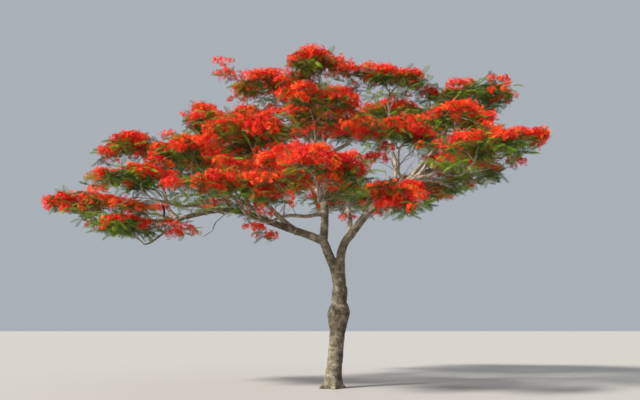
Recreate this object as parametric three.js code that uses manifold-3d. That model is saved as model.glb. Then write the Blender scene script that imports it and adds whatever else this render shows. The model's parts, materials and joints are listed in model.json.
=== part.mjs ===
// A flame tree (royal poinciana) in full bloom, about 9.3 m tall with a wide umbrella crown.
// Millimetres, +Z up. The origin is the middle of the flat cut at ground level, -Y faces the viewer,
// and a bearing is measured in degrees from +X (east) round to +Y (north, away from the viewer).
import * as THREE from "three";
import { mergeVertices } from "three/addons/utils/BufferGeometryUtils.js";
import Module from "manifold-3d";

const wasm = await Module();
wasm.setup();

// Trunk
const FORK_HEIGHT = 2650;
const TRUNK_LEAN = 230; // how far the fork stands east of the foot
const SHAFT_RADIUS = 195;
const FLARE_RADIUS = 92; // what the root flare adds at ground level
const FLARE_HEIGHT = 210;
const ROOT_LOBES = 5;
const LOBE_DEPTH = 0.16;
const BURL_HEIGHT = 1920;
const BURL_RADIUS = 74; // what the swelling half way up adds
const BURL_REACH = 350; // how far it fades out downwards
const BURL_RISE = 210; // and upwards
const SHOULDER_HEIGHT = 2510; // above this the trunk rounds off between its two limbs
const SHOULDER_DEPTH = 220;
const FORK_WIDENING = 0.16;
const TRUNK_SIDES = 14;
const WIDENING_HEIGHT = 2200;
const LOW_RINGS = [0, 70, 160, 320, 620, 1050, 1420, 1680];
const HIGH_RINGS = [1920, 2060, 2200, 2320, 2430, 2510, 2620, 2690];
const TRUNK_RINGS = [...LOW_RINGS, ...HIGH_RINGS];

// Limbs
const STEPS = 6; // straight pieces in each limb
const LEAVE_PULL = 0.36;
const ARRIVE_PULL = 0.34;
const BOW_SHARE = 0.35;
const LIMB_CROOK = 0.02;
const BOUGH_CROOK = 0.03;
const STOUT_SIDES = 8;
const SLIM_SIDES = 5;
const STOUT_RADIUS = 90;
const CLEARANCE = 0.3; // between two solids that meet
const SLIVER = 0.1; // edges shorter than this are closed up
const FINE_FORM = 3; // forms smaller than this are left out of a mass

// Foliage masses
const FLATNESS = 0.62; // a mass is this much as deep as it is wide
const ENTRY_IN = 0.5; // where a bough enters its mass, as shares of the spread and of the depth
const ENTRY_DOWN = 0.5;
const STEEP_DROP = 0.3;
const RIM = 420; // a mass's spread less this holds its twig ends
const LEAST_SITE_REACH = 130;
const SITES_PER_SQUARE_METRE = 4;
const LEAST_SITES = 4;
const DOME_FALL = 0.7;
const LEVEL_DROP = 1.15;
const CELL_GAP = 16;
const HUB_SHARE = 0.5;
const TWIG_ARCH = 0.12;
const TWIG_SIDES = 3;
const TWIG_RADIUS = 12;
const PIPE_POWER = 0.45;
const RUN_COST = 0.3;
const TURN_COST = 0.9;
const TWIG_MARGIN = 6;

// Leaves stand in rosettes round the twig ends, and blossom lies in low domes on them.
const ROSETTE = { leaves: 5, reach: 560, unevenness: 0.18, waist: 0.3, thickness: 64, droop: 130 };
const BLOSSOM = { radius: 400, height: 210, underside: 0.6, unevenness: 0.28 };
const TRIES = [1, 0.8, 0.62]; // sizes tried in turn, to fit a rosette or dome into its space
const LIMB_MARGIN = 5;
const MOSTLY_BLOSSOM = 0.5;

// Seeds
const LIMB_SEED = 11;
const BOUGH_SEED = 101;
const MASS_SEED = 1001;
const SEED_STRIDE = 31;

// A row of each table names, in order, what its columns hold. A limb leaves its parent at a share of
// the parent's length, ends at a bearing, reach and height, and has a radius at foot and tip.
// follow is how far it sets out along its parent, rise the slope at its tip, bow how far it arches.
const PLACE = ["parent", "at", "bearing", "reach", "height"];
const HABIT = ["follow", "rise", "bow"];
const LIMB_COLUMNS = ["name", ...PLACE, "foot", "tip", ...HABIT];
const LIMBS = [
  ["west_limb", "trunk", 0.96, 180, 220, 3860, 155, 135, 0.45, 70, 0],
  ["east_limb", "trunk", 0.96, 0, 440, 3920, 145, 130, 0.5, 52, 0],
];

// The masses of foliage: the place is a mass's middle, spread its radius seen from above, and bloom
// the share of it that flowers. at, follow, rise and bow are those of the bough that carries it.
const CROWN_COLUMNS = ["mass", ...PLACE, "spread", "bloom", ...HABIT];
const CROWN = [
  ["top", "west_limb", 1, 223, 510, 8560, 1300, 0.75, 0, 80, 0],
  ["west_tip", "west_limb", 0.98, 184, 6800, 4640, 1050, 0.75, 0.3, 4, 0.1],
  ["east_tip", "east_limb", 1, 346, 5100, 6200, 1000, 0.75, 0.6, 2, 0.16],
  ["west_low", "west_bough", 0.62, 194, 5350, 3920, 950, 0.35, 0.45, 0, 0.15],
  ["west_high", "west_bough", 0.66, 181, 5530, 6280, 1200, 0.75, 0.3, 50, -0.1],
  ["southwest_outer", "west_bough", 0.45, 204, 5300, 4950, 1050, 0.5, 0.45, 15, 0.1],
  ["southwest_low", "leader", 0.16, 235, 3990, 4370, 1200, 0.75, 0, 12, 0.1],
  ["west_mid", "leader", 0.38, 203, 4000, 5700, 1200, 0.65, 0.45, 10, 0.12],
  ["west_top", "leader", 0.42, 176, 3380, 7180, 1250, 0.7, 0.45, 15, 0.15],
  ["sprig", "west_top_bough", 0.55, 178, 2970, 8680, 550, 0.9, 0.45, 60, -0.1],
  ["top_west", "leader", 0.55, 182, 1950, 8200, 1100, 0.8, 0.45, 60, 0],
  ["top_east", "east_bough", 0.3, 2, 1800, 8350, 1200, 0.55, 0.7, 80, 0],
  ["south_mid", "leader", 0.4, 258, 2350, 6750, 1300, 0.7, 0.45, 30, 0.08],
  ["southwest_mid", "leader", 0.3, 232, 3400, 5850, 1200, 0.75, 0.45, 25, 0.1],
  ["south_low", "leader", 0.28, 265, 4240, 4600, 1250, 0.8, 0.45, 10, 0.15],
  ["southeast", "east_bough", 0.36, 303, 2950, 5950, 1050, 0.8, 0.45, 30, 0.05],
  ["southeast_low", "east_bough", 0.16, 292, 3850, 4300, 800, 0.85, 0.45, 5, 0.12],
  ["southeast_outer", "east_bough", 0.45, 315, 4700, 5400, 1100, 0.6, 0.45, 5, 0.1],
  ["east_mid", "east_bough", 0.5, 334, 3530, 6620, 1200, 0.6, 0.45, 35, 0],
  ["east_top", "east_bough", 0.42, 9, 4500, 8150, 1450, 0.15, 0.45, 45, 0],
  ["northwest", "west_bough", 0.12, 146, 4600, 6500, 1600, 0.5, 0.45, 15, 0.15],
  ["northwest_top", "leader", 0.45, 150, 2900, 7400, 1350, 0.6, 0.45, 30, 0.1],
  ["north_west", "leader", 0.22, 113, 4700, 6550, 1600, 0.5, 0.45, 15, 0.2],
  ["north_top", "leader", 0.5, 92, 2500, 7850, 1450, 0.6, 0.45, 40, 0.1],
  ["north", "east_limb", 0.95, 84, 4800, 5900, 1500, 0.5, 0.45, 10, 0.2],
  ["north_east", "east_bough", 0.12, 58, 5000, 6000, 1500, 0.5, 0.45, 10, 0.2],
  ["northeast_top", "leader", 0.47, 50, 2900, 7950, 1400, 0.6, 0.45, 35, 0.1],
  ["northeast", "east_bough", 0.3, 30, 5250, 6200, 1450, 0.45, 0.45, 10, 0.2],
];

// The three boughs that others spring from have names and radii of their own. The rest are named
// after their mass, and their radii follow its spread.
const MAIN_BOUGHS = {
  top: { name: "leader", foot: 120, tip: 40 },
  west_tip: { name: "west_bough", foot: 110, tip: 28 },
  east_tip: { name: "east_bough", foot: 115, tip: 28 },
};
const FOOT_PER_SPREAD = 0.048;
const TIP_PER_SPREAD = 0.021;

const UP = new THREE.Vector3(0, 0, 1);
const FULL_TURN = 2 * Math.PI;
const radians = THREE.MathUtils.degToRad;
const mix = THREE.MathUtils.lerp;

// Seeded numbers from 0 to 1 (mulberry32), so that the tree grows the same way each time.
function stream(seed) {
  let state = seed >>> 0;
  return () => {
    state = (state + 0x6d2b79f5) >>> 0;
    let t = state;
    t = Math.imul(t ^ (t >>> 15), t | 1);
    t ^= t + Math.imul(t ^ (t >>> 7), t | 61);
    return ((t ^ (t >>> 14)) >>> 0) / 4294967296;
  };
}

function polar(bearing, reach, height) {
  const a = radians(bearing);
  return new THREE.Vector3(reach * Math.cos(a), reach * Math.sin(a), height);
}

function level(v) {
  return new THREE.Vector3(v.x, v.y, 0);
}

// The point and the heading at a share of a path's length in steps.
function along(path, share) {
  const place = share * (path.length - 1);
  const i = Math.min(Math.floor(place), path.length - 2);
  const heading = path[i + 1].clone().sub(path[i]).normalize();
  return { point: path[i].clone().lerp(path[i + 1], place - i), heading };
}

// A limb's line: a curve that sets out between its parent's heading and its own, arches by bow,
// arrives at its tip with the slope rise, and wavers a little on the way.
function limbPath(start, heading, limb, tip, crook, seed) {
  const chord = tip.clone().sub(start);
  const length = chord.length();
  const straight = chord.clone().normalize();
  const out = level(chord).normalize();
  const leave = heading.clone().lerp(straight, 1 - limb.follow).normalize();
  const slope = radians(limb.rise);
  const arrive = out.clone().multiplyScalar(Math.cos(slope)).addScaledVector(UP, Math.sin(slope));
  const curve = new THREE.CubicBezierCurve3(
    start,
    start.clone().addScaledVector(leave, length * LEAVE_PULL),
    tip.clone().addScaledVector(arrive, -length * ARRIVE_PULL),
    tip,
  );
  const side = new THREE.Vector3(-out.y, out.x, 0);
  const draw = stream(seed);
  const phases = [draw() * FULL_TURN, draw() * FULL_TURN];
  const path = [];
  for (let i = 0; i <= STEPS; i++) {
    const t = i / STEPS;
    const swell = Math.sin(Math.PI * t);
    const sway = crook * length * swell * Math.sin(FULL_TURN * 1.3 * t + phases[0]);
    const nod = 0.6 * crook * length * swell * Math.sin(FULL_TURN * 1.7 * t + phases[1]);
    const point = curve.getPoint(t).addScaledVector(side, sway);
    path.push(point.addScaledVector(UP, limb.bow * BOW_SHARE * length * swell + nod));
  }
  return path;
}

// Where a bough ends: on the inner, lower side of the mass that it carries.
function mouthOf(centre, spread, start) {
  const toCentre = level(centre.clone().sub(start));
  const steep = 1 - Math.min(1, toCentre.length() / 1000);
  return centre
    .clone()
    .addScaledVector(toCentre.normalize(), -spread * ENTRY_IN * (1 - steep))
    .addScaledVector(UP, -spread * FLATNESS * (ENTRY_DOWN + STEEP_DROP * steep));
}

// A closed tapering tube along a path: a cylinder whose rings are moved onto the path.
function tube(path, radii, sides, roll = 0) {
  const steps = path.length - 1;
  const geometry = new THREE.CylinderGeometry(1, 1, 1, sides, steps, false, roll);
  const frames = [];
  let side = null;
  path.forEach((point, i) => {
    const ahead = path[Math.min(i + 1, steps)].clone().sub(path[Math.max(i - 1, 0)]).normalize();
    if (!side) side = Math.abs(ahead.x) > 0.9 ? new THREE.Vector3(0, 1, 0) : new THREE.Vector3(1, 0, 0);
    side = side.clone().addScaledVector(ahead, -side.dot(ahead)).normalize();
    frames.push({ point, side, other: side.clone().cross(ahead) });
  });
  const position = geometry.getAttribute("position");
  for (let k = 0; k < position.count; k++) {
    const i = Math.round((position.getY(k) + 0.5) * steps);
    const { point, side: across, other } = frames[i];
    const moved = point
      .clone()
      .addScaledVector(across, position.getX(k) * radii[i])
      .addScaledVector(other, position.getZ(k) * radii[i]);
    position.setXYZ(k, moved.x, moved.y, moved.z);
  }
  return geometry;
}

// A three.js geometry with only positions, its shared corners merged.
function plain(geometry) {
  geometry.deleteAttribute("normal");
  geometry.deleteAttribute("uv");
  return mergeVertices(geometry, 1e-3);
}

// A three.js geometry as a solid that can be joined and cut.
function solidOf(geometry) {
  const merged = plain(geometry);
  const vertProperties = new Float32Array(merged.getAttribute("position").array);
  const triVerts = new Uint32Array(merged.index.array);
  return new wasm.Manifold(new wasm.Mesh({ numProp: 3, vertProperties, triVerts }));
}

// The largest of a solid's separate bodies, once its numbers are rounded to 32 bits and its close
// corners merged. Scraps that a cut leaves and small hollows that joining seals are dropped.
function mainBody(solid) {
  const bodies = solidOf(geometryOf(solid.simplify(SLIVER))).decompose();
  if (bodies.length === 1) return bodies[0];
  return mainBody(bodies.reduce((most, body) => (body.volume() > most.volume() ? body : most)));
}

function geometryOf(solid) {
  const mesh = solid.getMesh();
  const geometry = new THREE.BufferGeometry();
  geometry.setAttribute("position", new THREE.BufferAttribute(new Float32Array(mesh.vertProperties), 3));
  geometry.setIndex(new THREE.BufferAttribute(new Uint32Array(mesh.triVerts), 1));
  geometry.computeVertexNormals();
  return geometry;
}

function join(solids) {
  return solids.reduce((whole, solid) => whole.add(solid));
}

// Trunk

// The trunk's axis at a height: it leans east, a little more steeply low down.
function trunkAxis(z) {
  const share = z / FORK_HEIGHT;
  return new THREE.Vector3(TRUNK_LEAN * (share + 0.12 * Math.sin(Math.PI * share)), 0, z);
}

function trunkRadius(z, angle) {
  const flare = Math.exp(-z / FLARE_HEIGHT);
  const lobes = 1 + LOBE_DEPTH * flare * Math.cos(ROOT_LOBES * angle + 0.6);
  const burlReach = z < BURL_HEIGHT ? BURL_REACH : BURL_RISE;
  const burl = Math.exp(-(((z - BURL_HEIGHT) / burlReach) ** 2)) * (1 + 0.35 * Math.cos(2 * angle + 0.4));
  const nearFork = THREE.MathUtils.smoothstep(z, WIDENING_HEIGHT, SHOULDER_HEIGHT);
  const fork = 1 + FORK_WIDENING * nearFork * Math.cos(angle) ** 2;
  const rise = Math.max(0, z - SHOULDER_HEIGHT) / SHOULDER_DEPTH;
  const round = Math.sqrt(1 - rise * rise);
  return ((SHAFT_RADIUS + FLARE_RADIUS * flare) * lobes + BURL_RADIUS * burl) * fork * round;
}

function trunkSolid(extra) {
  const rings = TRUNK_RINGS.length - 1;
  const geometry = new THREE.CylinderGeometry(1, 1, 1, TRUNK_SIDES, rings);
  geometry.rotateX(Math.PI / 2);
  const position = geometry.getAttribute("position");
  for (let k = 0; k < position.count; k++) {
    const [x, y] = [position.getX(k), position.getY(k)];
    const z = TRUNK_RINGS[Math.round((position.getZ(k) + 0.5) * rings)];
    const inward = Math.hypot(x, y) < 0.5;
    const reach = inward ? 0 : trunkRadius(z, Math.atan2(y, x)) + extra;
    const angle = Math.atan2(y, x);
    const axis = trunkAxis(z);
    const height = z === TRUNK_RINGS[rings] ? z + extra : z;
    position.setXYZ(k, axis.x + reach * Math.cos(angle), axis.y + reach * Math.sin(angle), height);
  }
  return solidOf(geometry);
}

// Limbs

function radiiOf(limb, extra) {
  const radii = [];
  for (let i = 0; i <= STEPS; i++) radii.push(mix(limb.foot, limb.tip, i / STEPS) + extra);
  return radii;
}

function limbSolid(limb, extra) {
  const path = limb.path.map((p) => p.clone());
  path[0].addScaledVector(along(limb.path, 0).heading, -extra);
  path[STEPS].addScaledVector(along(limb.path, 1).heading, extra);
  return solidOf(tube(path, radiiOf(limb, extra), limb.foot > STOUT_RADIUS ? STOUT_SIDES : SLIM_SIDES));
}

// A table's row as an object.
function entry(columns, row) {
  return Object.fromEntries(columns.map((column, i) => [column, row[i]]));
}

// The bough that carries a mass.
function boughOf(row) {
  const foot = row.spread * FOOT_PER_SPREAD;
  const tip = row.spread * TIP_PER_SPREAD;
  return MAIN_BOUGHS[row.mass] || { name: row.mass + "_bough", foot, tip };
}

// All limbs in order, each with its line, and all masses with their centres.
function layOut() {
  const limbs = new Map();
  const trunkPath = [];
  for (let i = 0; i <= STEPS; i++) trunkPath.push(trunkAxis((FORK_HEIGHT * i) / STEPS));
  limbs.set("trunk", { name: "trunk", path: trunkPath });
  LIMBS.forEach((row, k) => {
    const limb = entry(LIMB_COLUMNS, row);
    const from = along(limbs.get(limb.parent).path, limb.at);
    const tip = polar(limb.bearing, limb.reach, limb.height);
    const path = limbPath(from.point, from.heading, limb, tip, LIMB_CROOK, LIMB_SEED + k);
    limbs.set(limb.name, { ...limb, path });
  });
  const masses = CROWN.map((values, k) => {
    const row = entry(CROWN_COLUMNS, values);
    const bough = boughOf(row);
    const from = along(limbs.get(row.parent).path, row.at);
    const centre = polar(row.bearing, row.reach, row.height);
    const mouth = mouthOf(centre, row.spread, from.point);
    const path = limbPath(from.point, from.heading, row, mouth, BOUGH_CROOK, BOUGH_SEED + k);
    limbs.set(bough.name, { ...bough, path });
    const { mass: name, spread, bloom } = row;
    return { name, centre, mouth, spread, bloom, stem: bough.tip, seed: MASS_SEED + k };
  });
  return { limbs, masses };
}

// Foliage masses

// How far a point lies outside a mass, as a power distance in a frame where masses are round.
function power(point, mass) {
  const dz = (point.z - mass.centre.z) / FLATNESS;
  const dx = point.x - mass.centre.x;
  const dy = point.y - mass.centre.y;
  return dx * dx + dy * dy + dz * dz - mass.spread * mass.spread;
}

function centresApart(a, b) {
  const dz = (a.centre.z - b.centre.z) / FLATNESS;
  return Math.hypot(a.centre.x - b.centre.x, a.centre.y - b.centre.y, dz);
}

// True if a point is in the mass's own space, clear of the spaces of its neighbours.
function inSpace(point, mass, neighbours) {
  const own = power(point, mass);
  return own <= 0 && neighbours.every(({ other, apart }) => power(point, other) - own > 2 * apart * CELL_GAP);
}

// The places of a mass's twig ends, spread evenly through its dome, highest levels first to flower.
function sitesOf(mass) {
  const count = Math.max(LEAST_SITES, Math.round((SITES_PER_SQUARE_METRE * mass.spread ** 2) / 1e6));
  const draw = stream(mass.seed);
  const shifts = [draw(), draw(), draw()];
  const reach = Math.max(LEAST_SITE_REACH, mass.spread - RIM);
  const depth = Math.max(LEAST_SITE_REACH, mass.spread * FLATNESS - RIM / 2);
  const sites = [];
  for (let i = 0; i < count; i++) {
    const ring = Math.sqrt((shifts[0] + i * 0.8191725134) % 1);
    const angle = FULL_TURN * ((shifts[1] + i * 0.6710436067) % 1);
    const drop = (shifts[2] + i * 0.5497004779) % 1;
    const dome = Math.sqrt(1 - DOME_FALL * ring * ring);
    const point = new THREE.Vector3(
      mass.centre.x + reach * ring * Math.cos(angle),
      mass.centre.y + reach * ring * Math.sin(angle),
      mass.centre.z + depth * (dome - LEVEL_DROP * drop),
    );
    sites.push({ point, drop });
  }
  const flowering = [...sites].sort((a, b) => a.drop - b.drop).slice(0, Math.round(count * mass.bloom));
  for (const site of sites) site.flowers = flowering.includes(site);
  return sites;
}

// True if any of the points comes within reach of a limb's surface.
function touchesLimb(points, limbs, reach) {
  for (const limb of limbs.values()) {
    if (limb.name === "trunk") continue;
    for (let i = 0; i < STEPS; i++) {
      const line = new THREE.Line3(limb.path[i], limb.path[i + 1]);
      const most = mix(limb.foot, limb.tip, i / STEPS) + reach;
      const gap = (p) => line.closestPointToPoint(p, true, new THREE.Vector3()).distanceTo(p);
      if (points.some((p) => gap(p) < most)) return true;
    }
  }
  return false;
}

// A point on a twig, with the way that leads to it from the point below.
function nodeAt(point, below, run) {
  return { point, below, run, ahead: point.clone().sub(below.point).normalize(), tips: 0 };
}

// Twigs: from the hub each site is joined, nearest first, to the twig that gives it the shortest
// and straightest way. Twigs that would leave the space or touch a limb are skipped.
function growTwigs(mass, neighbours, limbs) {
  const hub = mass.mouth.clone().lerp(mass.centre, HUB_SHARE);
  const ahead = hub.clone().sub(mass.mouth).normalize();
  const nodes = [{ point: hub, run: 0, ahead, below: null, tips: 0 }];
  const sites = sitesOf(mass).sort((a, b) => a.point.distanceTo(hub) - b.point.distanceTo(hub));
  const twigs = [];
  for (const site of sites) {
    if (!inSpace(site.point, mass, neighbours)) continue;
    let best = null;
    for (const node of nodes) {
      const way = site.point.clone().sub(node.point);
      const gap = way.length();
      const turn = 1 - way.dot(node.ahead) / Math.max(gap, 1e-6);
      const cost = gap * (1 + TURN_COST * 0.5 * turn) + RUN_COST * node.run;
      if (!best || cost < best.cost) best = { node, cost, gap };
    }
    const from = best.node;
    const middle = from.point.clone().lerp(site.point, 0.5).addScaledVector(UP, TWIG_ARCH * best.gap);
    const between = [from.point.clone().lerp(middle, 0.6), middle.clone().lerp(site.point, 0.5)];
    const tested = [middle, site.point, ...between];
    if (!inSpace(middle, mass, neighbours) || touchesLimb(tested, limbs, TWIG_RADIUS + TWIG_MARGIN)) continue;
    const run = from.run + best.gap;
    const half = nodeAt(middle, from, run - best.gap / 2);
    const end = nodeAt(site.point, half, run);
    nodes.push(half, end);
    for (let node = end; node; node = node.below) node.tips += 1;
    twigs.push({ from, half, end, site });
  }
  return { hub, nodes, twigs };
}

function twigRadius(tips) {
  return TWIG_RADIUS * Math.max(1, tips) ** PIPE_POWER;
}

function twigSolid(twig, k) {
  const stout = twigRadius(twig.half.tips);
  const radii = [stout, stout * 0.93, twigRadius(twig.end.tips) * 0.85];
  const foot = twig.from.point.clone().addScaledVector(twig.half.ahead, -radii[0] / 3);
  return solidOf(tube([foot, twig.half.point, twig.site.point], radii, TWIG_SIDES, k));
}

// A rosette of leaves round a twig's end: a flat star whose points are the leaves, drooping at
// their tips and thick enough in the middle to hold the twig's end.
function rosetteGeometry(root, size, draw) {
  const geometry = plain(new THREE.SphereGeometry(1, 2 * ROSETTE.leaves, 2));
  geometry.rotateX(Math.PI / 2);
  const turn = draw() * FULL_TURN;
  const position = geometry.getAttribute("position");
  for (let k = 0; k < position.count; k++) {
    const up = position.getZ(k);
    if (Math.abs(up) > 0.5) {
      position.setXYZ(k, root.x, root.y, root.z + (up * ROSETTE.thickness) / 2);
      continue;
    }
    const around = Math.atan2(position.getY(k), position.getX(k));
    const leafTip = Math.round((around / FULL_TURN) * 2 * ROSETTE.leaves) % 2 === 0;
    const share = leafTip ? 1 - ROSETTE.unevenness * draw() : ROSETTE.waist;
    const reach = ROSETTE.reach * size * share;
    const angle = turn + around + (leafTip ? 0.2 * (draw() - 0.5) : 0);
    const drop = leafTip ? ROSETTE.droop * size * (0.4 + draw()) : 0;
    position.setXYZ(k, root.x + reach * Math.cos(angle), root.y + reach * Math.sin(angle), root.z - drop);
  }
  return geometry;
}

// A cluster of blossom as one low, uneven dome over a twig's end.
function blossomGeometry(root, size, draw) {
  const geometry = plain(new THREE.IcosahedronGeometry(1, 0));
  geometry.rotateZ(draw() * FULL_TURN);
  const position = geometry.getAttribute("position");
  for (let k = 0; k < position.count; k++) {
    const swell = size * (1 + BLOSSOM.unevenness * (draw() - 0.5));
    const [x, y, z] = [position.getX(k), position.getY(k), position.getZ(k)];
    const depth = BLOSSOM.height * (z < 0 ? BLOSSOM.underside : 1);
    position.setXYZ(
      k,
      root.x + x * BLOSSOM.radius * swell,
      root.y + y * BLOSSOM.radius * swell,
      root.z + (z * swell + 0.3) * depth,
    );
  }
  return geometry;
}

// The largest rosette or dome that stays in its space and clear of the wood, if any does.
function fitting(make, seed, mass, neighbours, wood) {
  for (const size of TRIES) {
    const geometry = make(size, stream(seed));
    const position = geometry.getAttribute("position");
    const corners = [];
    for (let k = 0; k < position.count; k++) {
      corners.push(new THREE.Vector3().fromBufferAttribute(position, k));
    }
    if (!corners.every((corner) => inSpace(corner, mass, neighbours))) continue;
    const solid = solidOf(geometry);
    if (solid.intersect(wood).isEmpty()) return solid;
  }
  return null;
}

function massSolid(mass, masses, limbs, wood) {
  const others = masses.filter((other) => other !== mass);
  const neighbours = others.map((other) => ({ other, apart: centresApart(mass, other) }));
  const { hub, twigs } = growTwigs(mass, neighbours, limbs);
  const stem = [mass.mouth, mass.mouth.clone().lerp(hub, 0.5), hub];
  const stemRadii = [mass.stem * 0.9, mass.stem * 0.85, twigRadius(twigs.length)];
  const pieces = [solidOf(tube(stem, stemRadii, SLIM_SIDES)), ...twigs.map(twigSolid)];
  twigs.forEach((twig, k) => {
    const make = twig.site.flowers ? blossomGeometry : rosetteGeometry;
    const shape = (size, draw) => make(twig.site.point, size, draw);
    const end = fitting(shape, mass.seed * SEED_STRIDE + k, mass, neighbours, wood);
    if (end) pieces.push(end);
  });
  return join(pieces).simplify(FINE_FORM);
}

// The whole tree

const bark = new THREE.MeshStandardMaterial({ color: 0x8a7a68, roughness: 0.9, metalness: 0 });
const blossomRed = new THREE.MeshStandardMaterial({ color: 0xe0301a, roughness: 0.6, metalness: 0 });
const leafGreen = new THREE.MeshStandardMaterial({ color: 0x5f7a2a, roughness: 0.7, metalness: 0 });

function named(name, solid, material) {
  const mesh = new THREE.Mesh(geometryOf(solid), material);
  mesh.name = name;
  return mesh;
}

// Cuts each limb clear of the limbs before it, so that they meet without touching.
function woodSolids(limbs) {
  const solids = new Map([["trunk", trunkSolid(0)]]);
  let grown = trunkSolid(CLEARANCE);
  for (const limb of limbs.values()) {
    if (limb.name === "trunk") continue;
    solids.set(limb.name, mainBody(limbSolid(limb, 0).subtract(grown)));
    grown = grown.add(limbSolid(limb, CLEARANCE));
  }
  return { solids, grown };
}

const tree = new THREE.Group();
tree.name = "flame_tree";
const { limbs, masses } = layOut();
const { solids, grown } = woodSolids(limbs);
const boughs = [...limbs.values()].filter((limb) => limb.name !== "trunk");
const margin = join([trunkSolid(LIMB_MARGIN), ...boughs.map((limb) => limbSolid(limb, LIMB_MARGIN))]);
for (const [name, solid] of solids) tree.add(named(name, solid, bark));
for (const mass of masses) {
  const solid = mainBody(massSolid(mass, masses, limbs, margin).subtract(grown));
  tree.add(named(mass.name, solid, mass.bloom > MOSTLY_BLOSSOM ? blossomRed : leafGreen));
}

export default tree;
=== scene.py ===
import itertools
import json
import math

import bmesh
import bpy
import numpy as np
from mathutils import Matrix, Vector, kdtree, noise
from numpy.linalg import norm

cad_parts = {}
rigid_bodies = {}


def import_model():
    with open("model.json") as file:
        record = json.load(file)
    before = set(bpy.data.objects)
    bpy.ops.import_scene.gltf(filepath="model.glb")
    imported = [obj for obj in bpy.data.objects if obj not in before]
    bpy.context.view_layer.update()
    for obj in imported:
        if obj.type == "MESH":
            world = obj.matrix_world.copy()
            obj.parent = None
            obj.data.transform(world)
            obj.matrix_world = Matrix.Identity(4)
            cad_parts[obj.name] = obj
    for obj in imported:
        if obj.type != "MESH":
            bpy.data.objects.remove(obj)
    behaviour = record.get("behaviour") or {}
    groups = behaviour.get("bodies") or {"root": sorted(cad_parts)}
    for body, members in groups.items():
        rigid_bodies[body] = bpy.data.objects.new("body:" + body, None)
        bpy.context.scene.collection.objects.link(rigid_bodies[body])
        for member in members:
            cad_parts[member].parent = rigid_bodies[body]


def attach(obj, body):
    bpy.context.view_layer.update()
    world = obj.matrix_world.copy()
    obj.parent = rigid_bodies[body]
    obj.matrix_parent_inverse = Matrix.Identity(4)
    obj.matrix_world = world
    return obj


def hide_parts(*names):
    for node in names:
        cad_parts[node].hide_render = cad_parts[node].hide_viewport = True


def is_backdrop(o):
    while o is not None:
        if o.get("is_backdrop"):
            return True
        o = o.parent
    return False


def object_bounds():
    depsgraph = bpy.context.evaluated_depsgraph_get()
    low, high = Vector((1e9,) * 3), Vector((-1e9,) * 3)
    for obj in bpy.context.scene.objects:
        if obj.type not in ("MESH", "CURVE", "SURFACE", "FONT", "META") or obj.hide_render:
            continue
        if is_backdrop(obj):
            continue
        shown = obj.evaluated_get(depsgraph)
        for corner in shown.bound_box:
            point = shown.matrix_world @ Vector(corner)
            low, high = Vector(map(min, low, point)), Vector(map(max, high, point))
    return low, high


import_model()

CAD_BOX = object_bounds()
MM = 0.001  # what is multiplied by this is in millimetres, as in the source

# The photograph's camera: its frame, its horizon and the foot of the trunk, in its pixels
FRAME_WIDTH = 640
FRAME_HEIGHT = 400
FOCAL_PIXELS = 600
HORIZON_ROW = 329
FOOT_COLUMN = 332
FOOT_ROW = 388
EYE_HEIGHT = 1.5
SENSOR_WIDTH = 36

# Floor and light: a sun's softness is its breadth in degrees
FLOOR_HALF = 400
FLOOR_GAP = 0.002  # between the floor and the trunk's flat cut
FLOOR_COLOUR = (0.45, 0.44, 0.42)
FLOOR_FINISH = {"roughness": 0.9, "specular": 0.1}
KEY_SUN = {"energy": 5.6, "softness": 9, "colour": (1.0, 0.95, 0.88), "toward": (0.79, 0.50, -0.66)}
SIDE_SUN = {"energy": 2.2, "softness": 14, "colour": (1.0, 0.96, 0.90), "toward": (0.98, 0.08, -0.16)}
SKY_COLOUR = (0.80, 0.87, 0.95)
SKY_STRENGTH = 0.5

# Trunk
FORK_HEIGHT = 2650
TRUNK_LEAN = 230
LEAN_BOW = 0.12
SHAFT_RADIUS = 195
FLARE_RADIUS = 92
FLARE_HEIGHT = 210
ROOT_LOBES = 5
LOBE_DEPTH = 0.16
LOBE_TURN = 0.6
BURL_HEIGHT = 1920
BURL_RADIUS = 74
BURL_REACH = 350
BURL_RISE = 210
BURL_UNEVENNESS = 0.35
BURL_TURN = 0.4
SHOULDER_HEIGHT = 2510
SHOULDER_DEPTH = 220
FORK_WIDENING = 0.04
WIDENING_HEIGHT = 2200
TRUNK_START = -120  # under the flat cut
TRUNK_TOP = 2690
TRUNK_SIDES = 56
TRUNK_STEPS = 70

# Limbs: the source's steps set where limbs spring from, and finer steps draw them
STEPS = 6
FINE_STEPS = 36
LEAVE_PULL = 0.36
ARRIVE_PULL = 0.34
BOW_SHARE = 0.35
SWAY_WAVES = 1.3
NOD_WAVES = 1.7
NOD_SHARE = 0.6
LIMB_CROOK = 0.02
BOUGH_CROOK = 0.03
COLLAR = 0.45  # how much a side limb swells at its foot
LEADING = 0.97  # a limb that springs further along than this has no collar
FORK_SLIMMING = 0.86  # of the fork's two limbs, for a crotch as deep as the photograph's
COLLAR_LENGTH = 0.17
FORK_COLLAR_LENGTH = 0.28

# Foliage masses
FLATNESS = 0.62
ENTRY_IN = 0.5
ENTRY_DOWN = 0.5
STEEP_DROP = 0.3
RIM = 420
TOP_RIM = 290
LEAST_SITE_REACH = 130
SITES_PER_SQUARE_METRE = 27
LEAST_SITES = 7
EVEN_STEPS = (0.8191725134, 0.6710436067, 0.5497004779)  # the fractions of their multiples lie evenly
DOME_FALL = 0.7
LEVEL_DROP = 0.85
SMALL_SPREAD = 0.9  # a mass smaller than this stands alone and is rounder
ROUND_DROP = 2.2
CELL_GAP = 16
HUB_SHARE = 0.5
GAP_SCALE = 1.7  # the foliage opens where a noise of this frequency falls below the level
GAP_LEVEL = -0.25
SEAM_GAP = 0.8  # widest gap between two masses that extra sites fill
SEAM_SITES = 7.5  # per metre of the seam's radius
SEAM_LEAST = 0.3
SEAM_BREADTH = 0.75
SEAM_DEPTH = 0.25
SEAM_SLACK = 0.4
TWIG_ARCH = 0.12
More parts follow.
